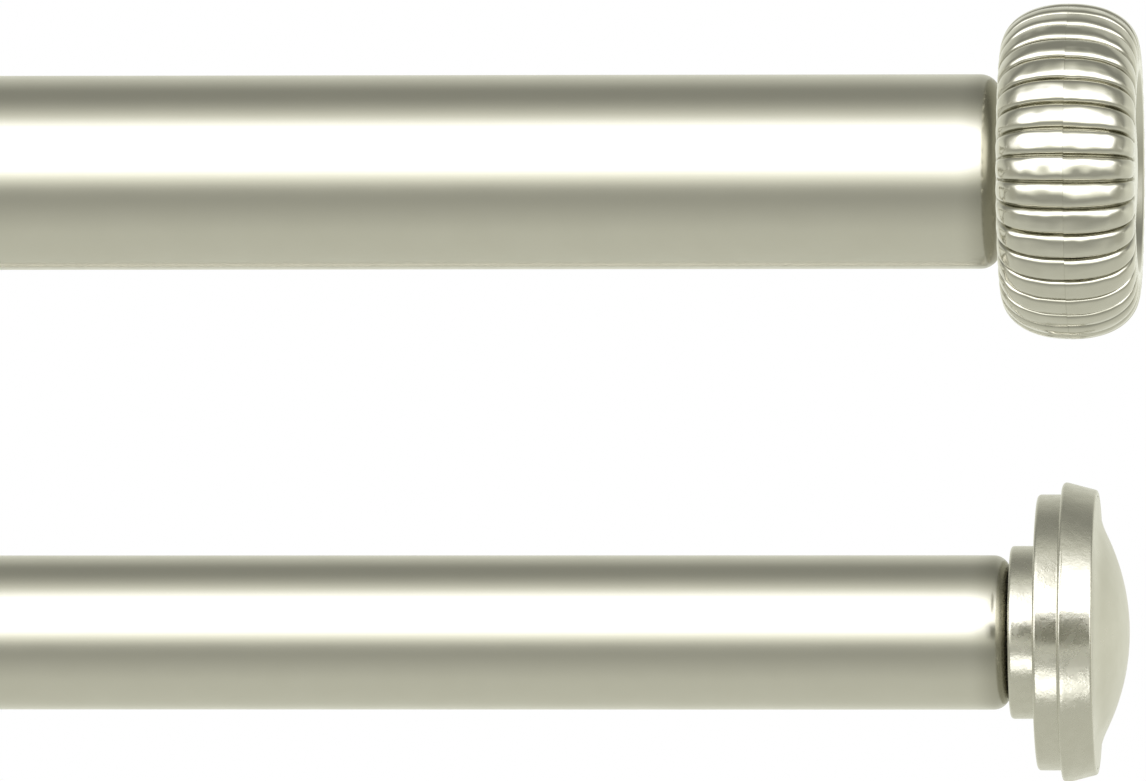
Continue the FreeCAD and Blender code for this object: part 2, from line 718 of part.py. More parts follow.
# ---------------------------------------------------------------- the assembly
def rod_pieces(name, fitting):
    """One telescoping rod, front or rear, with the sizes of that name and its end fittings."""
    diameter, inner, wall, roll = (f"{name}_{word}" for word in ("tube", "inner", "wall", "roll"))
    reach, rise, out = f"{name}_reach", ROD_RISE[name], f"-{name}_out"
    mouth = f"({reach} - tube_length)"
    pieces = [
        place(tube(f"{name}_outer_tube", diameter, wall, roll, f"{name}_lip"), reach, out, rise),
        place(tube(f"{name}_inner_tube", inner, wall, roll, f"{name}_inner_lip"),
              f"(0 - {reach})", out, rise, angle=180),
        place(guide_bush(f"{name}_guide_bush", diameter, wall, inner), mouth, out, rise),
        place(inner_glide(f"{name}_inner_glide", diameter, wall, inner),
              f"(tube_length - {reach})", out, rise),
        place(end_plug(f"{name}_plug_right", f"{name}_lip"), reach, out, rise),
        place(end_plug(f"{name}_plug_left", f"{name}_inner_lip"), f"(0 - {reach})", out, rise, angle=180),
    ]
    for label, make in fitting:
        pieces += [
            place(make(label + "_right"), f"{reach} + fit_gap", out, rise),
            place(make(label + "_left"), f"(0 - {reach} - fit_gap)", out, rise, angle=180),
        ]
    return pieces


def bracket_pieces():
    """Both wall brackets, each with its arms, cradles and screws."""
    flip = -90.0
    upper = ("bracket_half", "-plate_depth", "front_rise")
    lower = ("bracket_half", "-plate_depth", "-rear_drop")
    lock_reach = "(collar_radius - slide_radius - screw_bite + head_stand)"
    lock_place = "(0 - plate_depth - sleeve_length + collar_length / 2)"
    pieces = right_and_left(place(wall_plate("wall_plate_right"), "bracket_half", "0", "0"), "wall_plate")
    upper_screw = place(fixing_screw("upper_fixing_screw"), "bracket_half", "0", "front_rise", angle=flip)
    lower_screw = doc.addObject("Part::Mirroring", "lower_fixing_screw")
    lower_screw.Source = upper_screw
    lower_screw.Normal = (0, 0, 1)
    screws = doc.addObject("Part::Compound", "arm_fixing_screws_right")
    screws.Label = "arm_fixing_screws_right"
    screws.Links = [upper_screw, lower_screw]
    pieces += right_and_left(screws, "arm_fixing_screws")
    for label, make, spot in (("front_arm_sleeve", front_sleeve, upper),
                              ("front_arm_slide", front_slide, upper), ("rear_arm", rear_arm, lower)):
        pieces += right_and_left(place(make(label + "_right"), *spot, angle=flip), label)
    for name in ("front", "rear"):
        diameter, out, rise = f"{name}_tube", f"{name}_out", ROD_RISE[name]
        holder = place(cradle(f"{name}_cradle_right", diameter), "bracket_half", f"-{out}", rise)
        shank = "(cradle_gap - screw_bite + cradle_wall + boss_stand + head_stand)"
        screw = place(hand_screw(f"{name}_thumb_screw_right", shank), "bracket_half",
                      f"(0 - {out} - {diameter} / 2 - screw_bite)", rise, angle=flip)
        pieces += right_and_left(holder, f"{name}_cradle") + right_and_left(screw, f"{name}_thumb_screw")
    lock = place(hand_screw("sleeve_lock_screw_right", lock_reach), "bracket_half", lock_place,
                 "front_rise - slide_radius - screw_bite", axis=(0, 1, 0), angle=90.0)
    return pieces + right_and_left(lock, "sleeve_lock_screw")


ROD_RISE = {"front": "front_rise", "rear": "-rear_drop"}


def main():
    """Builds every piece, checks it and writes it to parts/."""
    pieces = rod_pieces("front", [("finial_inner_half", finial_inner_half),
                                  ("finial_outer_half", finial_outer_half)])
    pieces += rod_pieces("rear", [("cap_base", cap_base), ("cap_face", cap_face)])
    pieces += bracket_pieces()
    doc.recompute()
    failed = [o.Name for o in doc.Objects if "Invalid" in o.State or "Error" in o.State]
    failed += [p.Label for p in pieces if p.Shape.isNull() or not p.Shape.isValid()]
    if failed:
        raise RuntimeError("failed objects: " + ", ".join(failed))
    os.makedirs("parts", exist_ok=True)
    for piece in pieces:
        piece.Shape.exportStep(f"parts/{piece.Label}.step")
        print(f"{piece.Label}: {piece.Shape.Volume / 1000:.3f} cm3, {len(piece.Shape.Solids)} solid(s)")


main()
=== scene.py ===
"""A telescoping double curtain rod: its meshes, finishes, studio and camera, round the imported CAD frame.

X runs along the rods, the wall is the plane Y = 0 with the room towards -Y, and Z is up.  Every length is in
metres; sizes that a maker would quote are written in millimetres and multiplied by MM.
"""

import logging
import math
from dataclasses import dataclass
from enum import Enum

import bpy
import numpy as np
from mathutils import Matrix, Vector


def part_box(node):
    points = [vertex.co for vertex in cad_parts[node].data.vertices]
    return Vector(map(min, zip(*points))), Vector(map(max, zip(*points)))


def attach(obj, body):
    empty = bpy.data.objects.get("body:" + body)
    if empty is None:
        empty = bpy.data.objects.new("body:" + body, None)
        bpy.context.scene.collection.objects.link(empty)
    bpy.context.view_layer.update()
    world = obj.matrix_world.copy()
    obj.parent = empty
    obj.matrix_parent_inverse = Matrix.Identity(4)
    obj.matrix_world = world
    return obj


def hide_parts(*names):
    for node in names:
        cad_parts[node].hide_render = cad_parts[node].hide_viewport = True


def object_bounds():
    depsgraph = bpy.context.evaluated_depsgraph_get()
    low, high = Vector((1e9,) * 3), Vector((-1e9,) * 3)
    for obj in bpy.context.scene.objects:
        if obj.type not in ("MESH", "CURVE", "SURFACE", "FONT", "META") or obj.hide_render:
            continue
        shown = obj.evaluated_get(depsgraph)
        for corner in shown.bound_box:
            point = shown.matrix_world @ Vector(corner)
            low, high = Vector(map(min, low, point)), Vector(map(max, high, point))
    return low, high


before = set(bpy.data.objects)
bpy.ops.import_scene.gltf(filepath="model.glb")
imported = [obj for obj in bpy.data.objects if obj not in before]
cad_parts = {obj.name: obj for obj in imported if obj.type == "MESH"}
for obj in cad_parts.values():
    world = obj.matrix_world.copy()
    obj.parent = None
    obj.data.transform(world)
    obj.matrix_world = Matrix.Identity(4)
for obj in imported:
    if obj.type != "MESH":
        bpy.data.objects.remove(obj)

MM = 0.001
GUARD = 0.35                          # distance of a rounded corner's outer points, as a share of its reach
# the mesh attribute that sets how much painted shade each vertex gets, from 0 to 1
PAINTED_SHADE = "recess"
RIBBED = "ribbed"
LOG = logging.getLogger("curtain_rod")
CAD_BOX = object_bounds()


class Side(Enum):
    """Which end of the set a piece is at, seen from the room."""

    RIGHT = 1
    LEFT = -1

    @property
    def word(self) -> str:
        """The word that node and body names end or start with."""
        return self.name.lower()


# ---------------------------------------------------------------- meshes
@dataclass(frozen=True)
class Axis:
    """A line that pieces are turned about, with the direction that counts as angle zero."""

    origin: tuple[float, float, float]
    along: tuple[float, float, float]
    zero: tuple[float, float, float] = (0.0, 0.0, 1.0)

    def place(self, along: np.ndarray, across: np.ndarray, angle: np.ndarray) -> np.ndarray:
        """Points at a distance along the axis, a radius and an angle.

        point = origin + along * a + (zero * cos(angle) + (a x zero) * sin(angle)) * across

        Args:
            along: distances along the axis.
            across: radii, of the same shape.
            angle: angles in radians, of the same shape.

        Returns:
            An array with a last dimension of three.
        """
        line, zero = np.array(self.along), np.array(self.zero)
        third = np.cross(line, zero)
        radial = np.cos(angle)[..., None] * zero + np.sin(angle)[..., None] * third
        return np.array(self.origin) + along[..., None] * line + across[..., None] * radial


def rounded(corners: list[tuple[float, float, float]], steps: int = 6, closed: bool = True) -> np.ndarray:
    """An outline with rounded corners.

    A corner that turns by t with radius r becomes an arc from r * tan(|t| / 2) before it to as far after it.
    One more point just outside each end keeps the flat beside it flat when it is shaded smoothly.

    Args:
        corners: (distance along the axis, radius, corner rounding) of each corner.
        steps: segments in each arc.
        closed: whether the last corner joins the first.

    Returns:
        The outline's points, one row each.
    """
    data = np.array(corners, float)
    points, radii = data[:, :2], data[:, 2]
    before, after = np.roll(points, 1, 0), np.roll(points, -1, 0)
    if not closed:
        before[0], after[-1] = 2 * points[0] - points[1], 2 * points[-1] - points[-2]
        radii[[0, -1]] = 0
    arriving, leaving = unit(points - before), unit(after - points)
    cross = arriving[:, 0] * leaving[:, 1] - arriving[:, 1] * leaving[:, 0]
    turn = np.arctan2(cross, (arriving * leaving).sum(1))
    reach = radii * np.tan(np.abs(turn) / 2)
    start = points - arriving * reach[:, None]
    inward = np.stack([-arriving[:, 1], arriving[:, 0]], 1) * np.sign(turn)[:, None]
    spoke = -inward * radii[:, None]
    swing = turn[:, None] * np.linspace(0, 1, steps + 1)
    cosine, sine = np.cos(swing), np.sin(swing)
    arc = (start - spoke)[:, None] + np.stack([
        cosine * spoke[:, None, 0] - sine * spoke[:, None, 1],
        sine * spoke[:, None, 0] + cosine * spoke[:, None, 1],
    ], -1)
    margin = GUARD * reach[:, None]
    lead, tail = start - arriving * margin, points + leaving * (reach[:, None] + margin)
    whole = np.concatenate([lead[:, None], arc, tail[:, None]], 1)
    keep = np.ones(whole.shape[:2], bool)
    keep[reach == 0, 1:] = False
    return whole[keep]


def unit(vectors: np.ndarray) -> np.ndarray:
    """Each row of vectors, scaled to length one."""
    return vectors / np.linalg.norm(vectors, axis=-1, keepdims=True)


def even(count: int) -> np.ndarray:
    """That many angles, evenly round a full turn."""
    return np.arange(count) * (2 * math.pi / count)


def turned(outline: np.ndarray, angles: np.ndarray, axis: Axis, closed: bool = True,
           lift: np.ndarray | None = None,
           way: np.ndarray | None = None) -> tuple[np.ndarray, list[list[int]]]:
    """The surface that an outline sweeps when it is turned about an axis.

    The grid point (i, j) is the outline's point i, moved by lift[i, j] along way[i] and turned to angle j.
    An open outline starts and ends on the axis, where its row closes to one point.

    Args:
        outline: (distance along the axis, radius) in metres, one row per point.
        angles: the angles of the grid's columns, round a full turn.
        axis: the line to turn about.
        closed: whether the outline is a loop clear of the axis.
        lift: how far each grid point stands out, or None for a plain surface.
        way: the direction that each row is lifted in, in the outline's plane.

    Returns:
        The points and the faces, which point outwards.
    """
    along = np.repeat(outline[:, :1], len(angles), 1)
    across = np.repeat(outline[:, 1:], len(angles), 1)
    if lift is not None:
        along = along + lift * way[:, :1]
        across = across + lift * way[:, 1:]
    points = axis.place(along, across, np.broadcast_to(angles, along.shape))
    rows, columns = along.shape
    if closed:
        faces = grid_faces(rows, columns, True)
        vertices = points.reshape(-1, 3)
    else:
        faces = grid_faces(rows - 2, columns, False)
        vertices = np.concatenate([points[1:-1].reshape(-1, 3), points[:1, 0], points[-1:, 0]])
        ring, last, first_pole = np.arange(columns), (rows - 3) * columns, (rows - 2) * columns
        following = (ring + 1) % columns
        fans = np.concatenate([
            np.stack([following, ring, np.full(columns, first_pole)], 1),
            np.stack([ring + last, following + last, np.full(columns, first_pole + 1)], 1),
        ])
        faces = faces + fans.tolist()
    if enclosed(vertices, faces) < 0:
        faces = [face[::-1] for face in faces]
    return vertices, faces


def grid_faces(rows: int, columns: int, wrap: bool) -> list[list[int]]:
    """Four-sided faces of a grid whose columns close round, and whose rows do too if wrap is set."""
    count = rows if wrap else rows - 1
    i, j = np.meshgrid(np.arange(count), np.arange(columns), indexing="ij")
    below, beside = (i + 1) % rows, (j + 1) % columns
    quads = np.stack([i * columns + j, i * columns + beside,
                      below * columns + beside, below * columns + j], -1)
    return quads.reshape(-1, 4).tolist()


def enclosed(vertices: np.ndarray, faces: list[list[int]]) -> float:
    """Signed volume inside a closed mesh, positive when its faces point outwards.

    Each triangle of each face adds a sixth of the triple product of its corners, from the mesh's middle.
    """
    middle = vertices.mean(0)
    corners = np.array([face if len(face) == 4 else face + face[-1:] for face in faces])
    a, b, c, d = (vertices[corners[:, k]] - middle for k in range(4))
    return float((a * np.cross(b, c)).sum() + (a * np.cross(c, d)).sum()) / 6


def piece(name: str, shape: tuple[np.ndarray, list[list[int]]], finish: "Finish", body: str,
          nodes: list[str]) -> bpy.types.Object:
    """Puts a surface in the scene as one smooth piece that rides on a CAD body.

    Args:
        name: the piece's name.
        shape: its points and faces.
        finish: what it is made of.
        body: the CAD body it moves with.
        nodes: the CAD nodes that it stands for.

    Returns:
        The new object.
    """
    mesh = bpy.data.meshes.new(name)
    mesh.from_pydata(shape[0].tolist(), [], shape[1])
    mesh.polygons.foreach_set("use_smooth", np.ones(len(mesh.polygons), bool))
    mesh.update()
    thing = bpy.data.objects.new(name, mesh)
    bpy.context.scene.collection.objects.link(thing)
    mesh.materials.append(finish.material())
    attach(thing, body)
    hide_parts(*nodes)
    LOG.info("%s: %d faces on %s", name, len(shape[1]), body)
    return thing


def smooth(share: np.ndarray) -> np.ndarray:
    """Eases a share from 0 to 1: 3 s^2 - 2 s^3, and no further either way."""
    held = np.clip(share, 0, 1)
    return held * held * (3 - 2 * held)


def mark(thing: bpy.types.Object, attribute: str, values: np.ndarray) -> None:
    """Stores a share from 0 to 1 for each vertex, which the piece's finish reads."""
    thing.data.attributes.new(attribute, "FLOAT", "POINT").data.foreach_set("value", values)


def middle_of(node: str) -> Vector:
    """The middle of a CAD node's box."""
    low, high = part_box(node)
    return (low + high) / 2


# ---------------------------------------------------------------- finishes
def linear(code: str) -> tuple[float, float, float, float]:
    """An sRGB hex colour as linear red, green, blue and alpha."""
    parts = [int(code[i:i + 2], 16) / 255 for i in (1, 3, 5)]
    return tuple(p / 12.92 if p <= 0.04045 else ((p + 0.055) / 1.055) ** 2.4 for p in parts) + (1.0,)


def node(tree: bpy.types.NodeTree, kind: str, settings: dict | None = None,
         inputs: dict | None = None) -> bpy.types.Node:
    """Adds a node with its settings, and sets each input to a value or links it to another node's output."""
    made = tree.nodes.new(kind)
    for key, value in (settings or {}).items():
        setattr(made, key, value)
    for key, value in (inputs or {}).items():
        if isinstance(value, bpy.types.NodeSocket):
            tree.links.new(value, made.inputs[key])
        else:
            made.inputs[key].default_value = value
    return made


@dataclass(frozen=True)
class Finish:
    """A plated metal or a moulded plastic: its colour, its gloss, and the grain that breaks its gloss up."""

    name: str
    colour: str
    metallic: float
    roughness: float
    grain: float                      # size of one grain, in metres
    grain_depth: float                # height of the grain, in metres
    gloss_change: float = 0.0         # how far patches of wear and plating move the roughness
    patch: float = 6 * MM             # size of such a patch
    stretch: tuple[float, float, float] = (1.0, 1.0, 1.0)
    tarnish: str | None = None        # colour that the patches lean to
    ripple: float = 3 * MM            # size of the slow waves in the surface under the plate
    ripple_depth: float = 0.0
    recess: str | None = None         # painted shade: colour where the mesh's painted-shade attribute is 1
    on_ribs: bool = False             # whether the slow waves lie only on the ribs

    def material(self) -> bpy.types.Material:
        """The Blender material of this finish, made once."""
        if self.name in bpy.data.materials:
            return bpy.data.materials[self.name]
        made = bpy.data.materials.new(self.name)
        made.use_nodes = True
        tree = made.node_tree
        shader = tree.nodes["Principled BSDF"]
        shader.inputs["Metallic"].default_value = self.metallic
        place = node(tree, "ShaderNodeTexCoord").outputs["Object"]
        drawn = node(tree, "ShaderNodeMapping", inputs={"Vector": place, "Scale": self.stretch})
        fine = node(tree, "ShaderNodeTexNoise",
                    inputs={"Vector": drawn.outputs["Vector"], "Scale": 1 / self.grain, "Detail": 2.0})
        patches = node(tree, "ShaderNodeTexNoise",
                       inputs={"Vector": place, "Scale": 1 / self.patch, "Detail": 3.0, "Roughness": 0.6})
        gloss = node(tree, "ShaderNodeMapRange", inputs={
            "Value": patches.outputs["Fac"], "From Min": 0.3, "From Max": 0.7,
            "To Min": self.roughness - self.gloss_change, "To Max": self.roughness + self.gloss_change})
        tree.links.new(gloss.outputs["Result"], shader.inputs["Roughness"])
        tint = node(tree, "ShaderNodeMix", {"data_type": "RGBA"}, {
            "Factor": patches.outputs["Fac"], "A": linear(self.colour),
            "B": linear(self.tarnish or self.colour)})
        colour = tint.outputs["Result"]
        # painted shade: darkens the colour towards the painted-shade colour where the mesh's attribute is 1
        if self.recess:
            depth = node(tree, "ShaderNodeAttribute", {"attribute_name": PAINTED_SHADE}).outputs["Fac"]
            colour = node(tree, "ShaderNodeMix", {"data_type": "RGBA"}, {
                "Factor": depth, "A": colour, "B": linear(self.recess)}).outputs["Result"]
        tree.links.new(colour, shader.inputs["Base Color"])
        waves = node(tree, "ShaderNodeTexNoise",
                     inputs={"Vector": drawn.outputs["Vector"], "Scale": 1 / self.ripple, "Detail": 1.0})
        ribs = node(tree, "ShaderNodeAttribute", {"attribute_name": RIBBED}).outputs["Fac"]
        slow = node(tree, "ShaderNodeBump", inputs={
            "Height": waves.outputs["Fac"], "Distance": self.ripple_depth,
            "Strength": ribs if self.on_ribs else 1.0})
        bump = node(tree, "ShaderNodeBump", inputs={
            "Height": fine.outputs["Fac"], "Distance": self.grain_depth, "Strength": 1.0,
            "Normal": slow.outputs["Normal"]})
        tree.links.new(bump.outputs["Normal"], shader.inputs["Normal"])
        return made


# Nickel plate on drawn steel, brushed along the tube and lacquered: a soft, slightly warm grey sheen; the
# colour darkens to painted shade over the last few millimetres before the rolled end.
SATIN_TUBE = Finish("nickel_plate_satin_on_steel_tube", "#CECCC1", 1.0, 0.24, 0.25 * MM, 0.0012 * MM,
                    0.015, stretch=(0.04, 1.0, 1.0), tarnish="#CAC8BC", recess="#A7A598")
# Bright nickel plate on a pressed and fluted shell: sharp reflections that the ribs break into lines, with
# painted shade darkening the grooves.
BRIGHT_SHELL = Finish("nickel_plate_bright_on_pressed_shell", "#CFCDC3", 1.0, 0.14, 0.6 * MM, 0.002 * MM,
                      0.04, patch=2.5 * MM, tarnish="#C8C6B9", ripple=3.6 * MM, ripple_depth=0.45 * MM,
                      recess="#9C9A89", on_ribs=True)
# Nickel plate on a bead-blasted zinc casting: the blasting leaves a sandy grain that breaks its highlights.
SANDY_CASTING = Finish("nickel_plate_on_blasted_zinc_casting", "#CFCDC2", 1.0, 0.27, 0.34 * MM, 0.016 * MM,
                       0.05, patch=1.3 * MM, tarnish="#C5C3B6", ripple=1.6 * MM, ripple_depth=0.03 * MM)
# Nickel plate on a pressed brass disc: the press leaves it smoother than the blasted casting round it.
SATIN_DISC = Finish("nickel_plate_satin_on_pressed_disc", "#CECCC1", 1.0, 0.3, 0.25 * MM, 0.002 * MM,
                    0.03, patch=3 * MM, tarnish="#C9C7BA", ripple=6 * MM, ripple_depth=0.02 * MM)
# The same plate on the brackets' castings and turned bars, with a finer grain.
SATIN_BRACKET = Finish("nickel_plate_satin_on_zinc_bracket", "#CCCABF", 1.0, 0.27, 0.25 * MM, 0.003 * MM,
                       0.04, patch=4 * MM, tarnish="#C3C1B3", ripple=5 * MM, ripple_depth=0.02 * MM)
# Nickel plate on turned and knurled brass: brighter than the castings, worn on the knurl's crests.
BRIGHT_BRASS = Finish("nickel_plate_on_turned_brass", "#D0CEC4", 1.0, 0.18, 0.3 * MM, 0.002 * MM,
                      0.04, patch=2 * MM, tarnish="#CAC7B8")
# Clear zinc plate on steel: a bluish, slightly cloudy grey.
ZINC_STEEL = Finish("zinc_plate_on_steel_screw", "#C4C8CC", 1.0, 0.33, 0.2 * MM, 0.003 * MM,
                    0.05, patch=1.5 * MM, tarnish="#B4B9BF")
# Injection-moulded polypropylene: dark, matt, with the fine orange peel of the mould.
DARK_PLASTIC = Finish("polypropylene_moulded_dark", "#5B5B57", 0.0, 0.5, 0.5 * MM, 0.01 * MM,
                      0.05, patch=3 * MM, tarnish="#54544F")


# ---------------------------------------------------------------- rods
@dataclass
class Tube:
    """A thin tube with one end rolled in to a lip and the other cut square."""

    node: str
    body: str
    side: Side                        # where the rolled end is
    wall: float
    roll: float
    lip: float
    mirrored: bool                    # whether the other rod is dimmed by it and picks up its image
    sides: int = 192
    rows: int = 44                    # bands along the straight stretch
    end_shade_length: float = 5.5 * MM          # how far back from its rolled end the painted shade reaches
    end_shade_rows: int = 5                # bands along that stretch
    roll_room: float = 1.5            # where those bands end, in roll radii from the tube's end
    burr: float = 0.15 * MM           # rounding of its thin edges

    def build(self) -> bpy.types.Object:
        """Makes the tube in the place of its CAD node.

        The outline runs from the cut end along the outside, round a quarter circle of the roll's radius to
        the flat end, in to the lip, and back along the inside at one wall's distance.
        """
        low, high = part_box(self.node)
        radius = (high.z - low.z) / 2
        length = high.x - low.x
        end = high.x if self.side is Side.RIGHT else low.x
        middle = (low + high) / 2
        axis = Axis((end, middle.y, middle.z), (self.side.value, 0, 0))
        stations = np.append(np.linspace(-length, -self.end_shade_length, self.rows)[1:-1],
                             np.linspace(-self.end_shade_length, -self.roll_room * self.roll, self.end_shade_rows))
        corners = [(-length, radius - self.wall, self.burr), (-length, radius, self.burr)]
        corners += [(x, radius, 0) for x in stations]
        corners += [(0, radius, self.roll), (0, self.lip, self.burr), (-self.wall, self.lip, self.burr),
                    (-self.wall, radius - self.wall, self.roll - self.wall)]
        outline = rounded(corners, 10)
        skin = piece(self.node + "_skin", turned(outline, even(self.sides), axis), SATIN_TUBE,
                     self.body, [self.node])
        # painted shade: the colour darkens over the last stretch before the rolled end, where shading falls
        # off
        mark(skin, PAINTED_SHADE, np.repeat(smooth(1 + outline[:, 0] / self.end_shade_length), self.sides))
        skin.visible_glossy = skin.visible_shadow = self.mirrored
        return skin


@dataclass
class Finial:
    """A fluted round knob made of two pressed halves that meet at a parting line round its crown.

    The crown is half a superellipse on a ring: |x / half_width|^n + (height / rise)^n = 1, with x measured
    from the middle of its width and n its squareness.
    """

    side: Side
    ribs: int = 38
    foot: float = 15.45 * MM          # radius where the crown meets the flat sides
    squareness: float = 2.25
    wall: float = 1.7 * MM
    floor: float = 2.0 * MM           # thickness of the flat back
    bore: float = 6.05 * MM           # for the plug's neck
    rib_crown: float = 0.2 * MM       # how far a rib bulges over its width
    shoulder: float = 0.6 * MM        # how far its edges roll down besides
    groove: float = 0.25 * MM         # drop from a rib's edge to the groove's floor
    groove_edge: float = 0.88         # where a rib ends, as a share of half the pitch
    unevenness: float = 0.12          # how far the ribs differ from each other
    burr: float = 0.03 * MM           # rounding of each half's edge at the parting line
    slip: float = 0.022               # how far the halves' ribs miss each other, as a share of the pitch
    back_tail: float = 1.0 * MM       # how far the ribs run in over the back, past the crown's foot
    front_tail: float = 1.7 * MM      # how far clear of the button they end on the front
    fade_out: float = 1.6 * MM        # stretch over which they fade
    gather: float = 0.6               # how far the mesh's columns crowd towards the grooves
    groove_shade_power: int = 9             # sharpness of the painted shade in the grooves
    flat_waves: float = 0.12          # strength of the slow waves off the ribs
    button: float = 12.4 * MM         # radius of the sunk button in the closed side
    button_rise: float = 0.9 * MM
    button_sink: float = 1.2 * MM
    face_back: float = 3.4 * MM       # thickness of the closed side
    samples: int = 24                 # columns across one rib
    arc_rows: int = 46                # rows over each half's crown

    def build(self) -> None:
        """Makes both halves in the place of their CAD nodes."""
        inner, outer = (f"finial_{half}_half_{self.side.word}" for half in ("inner", "outer"))
        boxes = [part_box(inner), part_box(outer)]
        ends = [corner.x * self.side.value for box in boxes for corner in box]
        back, middle = min(ends), middle_of(inner)
        self.width = max(ends) - back
        self.radius = (boxes[0][1].z - boxes[0][0].z) / 2
        self.axis = Axis((back * self.side.value, middle.y, middle.z), (self.side.value, 0, 0))
        self.make_half(inner, self.inner_outline(), self.foot - self.back_tail, 0.0, True)
        self.make_half(outer, self.outer_outline(), self.button + self.front_tail, self.slip, False)

    def crown(self, start: float, stop: float) -> np.ndarray:
        """Points of the crown between two shares of half a turn, from its back foot to its front one."""
        turn = np.linspace(start, stop, self.arc_rows) * math.pi
        power = 2 / self.squareness
        across = np.sign(np.cos(turn)) * np.abs(np.cos(turn)) ** power
        height = np.abs(np.sin(turn)) ** power
        return np.stack([self.width / 2 * (1 - across), self.foot + (self.radius - self.foot) * height], 1)

    def crown_radius(self, x: np.ndarray) -> np.ndarray:
        """The crown's radius at a distance along the axis: foot + rise * (1 - |1 - x / half|^n)^(1 / n)."""
        share = np.clip(1 - np.abs(1 - 2 * x / self.width) ** self.squareness, 0, 1)
        return self.foot + (self.radius - self.foot) * share ** (1 / self.squareness)

    def crown_way(self, outline: np.ndarray) -> np.ndarray:
        """The crown's outward direction at each point: the slope of |x / half|^n + (height / rise)^n."""
        half, rise = self.width / 2, self.radius - self.foot
        across = outline[:, 0] / half - 1
        height = np.clip((outline[:, 1] - self.foot) / rise, 0, 1)
        power = self.squareness - 1
        slope = np.stack([np.sign(across) * np.abs(across) ** power / half, height ** power / rise], 1)
        return unit(slope + np.array([0, 1e-9]))

    def inner_outline(self) -> np.ndarray:
        """Closed outline of the half next to the rod: back face, crown, parting face and inside."""
        half = self.width / 2
        crown = self.crown(0.0, 0.5)
        corners = [(self.floor, self.bore, 0.1 * MM), (0, self.bore, 0.2 * MM)]
        corners += [(0, r, 0) for r in np.linspace(self.foot - 5 * MM, self.foot, 14)[:-1]]
        corners += [(x, r, 0) for x, r in crown[:-1]]
        corners += [(half, self.radius, self.burr), (half, self.radius - self.wall, 0.1 * MM),
                    (self.floor, self.foot - 0.5 * MM, 1.5 * MM)]
        return rounded(corners, 5)

    def outer_outline(self) -> np.ndarray:
        """Open outline of the closed half, from inside on the axis to the button's middle."""
        half, front = self.width / 2, self.width
        shelf = front - self.button_sink
        crown = self.crown(0.5, 1.0)
        inside = front - self.face_back
        corners = [(inside, 0, 0), (inside, self.foot - 1.5 * MM, 1.5 * MM),
                   (half, self.radius - self.wall, 0.1 * MM), (half, self.radius, self.burr)]
        corners += [(x, r, 0) for x, r in crown[1:]]
        corners += [(front, r, 0) for r in np.linspace(self.foot, self.button + 1.6 * MM, 10)[1:]]
        corners += [(front, self.button + 0.9 * MM, 0.45 * MM), (shelf, self.button, 0.35 * MM)]
        dome = np.linspace(0.985, 0, 16)
        corners += [(shelf + self.button_rise * (1 - s * s), self.button * s, 0) for s in dome]
        return rounded(corners, 5, closed=False)

    def rib_height(self, share: np.ndarray) -> np.ndarray:
        """Height over the crown at a place between two grooves.

        With u the distance from the rib's middle as a share of half the pitch, the rib bulges as
        -rib_crown * u^2 and rolls down as -shoulder * u^6.  Past its edge it drops to the groove's rounded
        floor, as groove * sin(v * pi / 2) where v goes from 0 at the edge to 1 at the groove's middle.

        Args:
            share: place across the pitch, from 0 at one groove's middle to 1 at the next.

        Returns:
            The height in metres, zero on the rib's crest and negative elsewhere.
        """
        u = np.abs(2 * share - 1)
        into = np.clip((u - self.groove_edge) / (1 - self.groove_edge), 0, 1)
        return -self.rib_crown * u ** 2 - self.shoulder * u ** 6 - self.groove * np.sin(into * math.pi / 2)

    def make_half(self, name: str, outline: np.ndarray, tail: float, slip: float, closed: bool) -> None:
        """Turns one half, with its ribs on the crown and the sides.

        The mesh's columns crowd towards the grooves: a share s of the pitch moves to
        s - gather * sin(2 * pi * s) / (2 * pi).  Each rib has its own height and leans a little to one side.

        Args:
            name: the CAD node.
            outline: the half's outline.
            tail: radius at which the ribs have faded out on the side face.
            slip: how far the ribs are turned, as a share of the pitch.
            closed: whether the outline is a loop.
        """
        step = np.arange(self.samples) / self.samples
        gathered = step - self.gather / (2 * math.pi) * np.sin(2 * math.pi * step)
        share = np.tile(gathered, self.ribs)
        angles = (np.repeat(np.arange(self.ribs), self.samples) + share + slip) * (2 * math.pi / self.ribs)
        x, r = outline[:, 0], outline[:, 1]
        off_side, off_crown = 0.05 * MM, 0.4 * MM
        hollow = ((x > off_side) & (x < self.width - off_side)
                  & (r < self.crown_radius(x) - off_crown))
        fade = smooth((r - tail) / self.fade_out) * ~hollow * np.clip(r / self.radius, 0, 1)
        chance = np.random.default_rng(7 if closed else 8)
        uneven = np.repeat(1 + self.unevenness * chance.standard_normal(self.ribs), self.samples)
        lean = np.repeat(self.unevenness * chance.standard_normal(self.ribs), self.samples)
        rib = self.rib_height(share) * uneven + self.rib_crown * lean * np.sin(2 * math.pi * share)
        lift = fade[:, None] * np.minimum(rib, 0)[None, :]
        shape = turned(outline, angles, self.axis, closed, lift, self.crown_way(outline))
        shell = piece(name + "_shell", shape, BRIGHT_SHELL, f"{self.side.word}_finial", [name])
        spread = np.repeat(fade[:, None], len(share), 1)
        # painted shade in each groove, strongest at its middle; the ribbed share sets where the slow waves
        # lie
        marks = {PAINTED_SHADE: spread * np.abs(2 * share - 1) ** self.groove_shade_power,
                 RIBBED: self.flat_waves + (1 - self.flat_waves) * spread}
        for attribute, values in marks.items():
            mark(shell, attribute, values.ravel() if closed else np.append(values[1:-1], values[[0, -1], 0]))


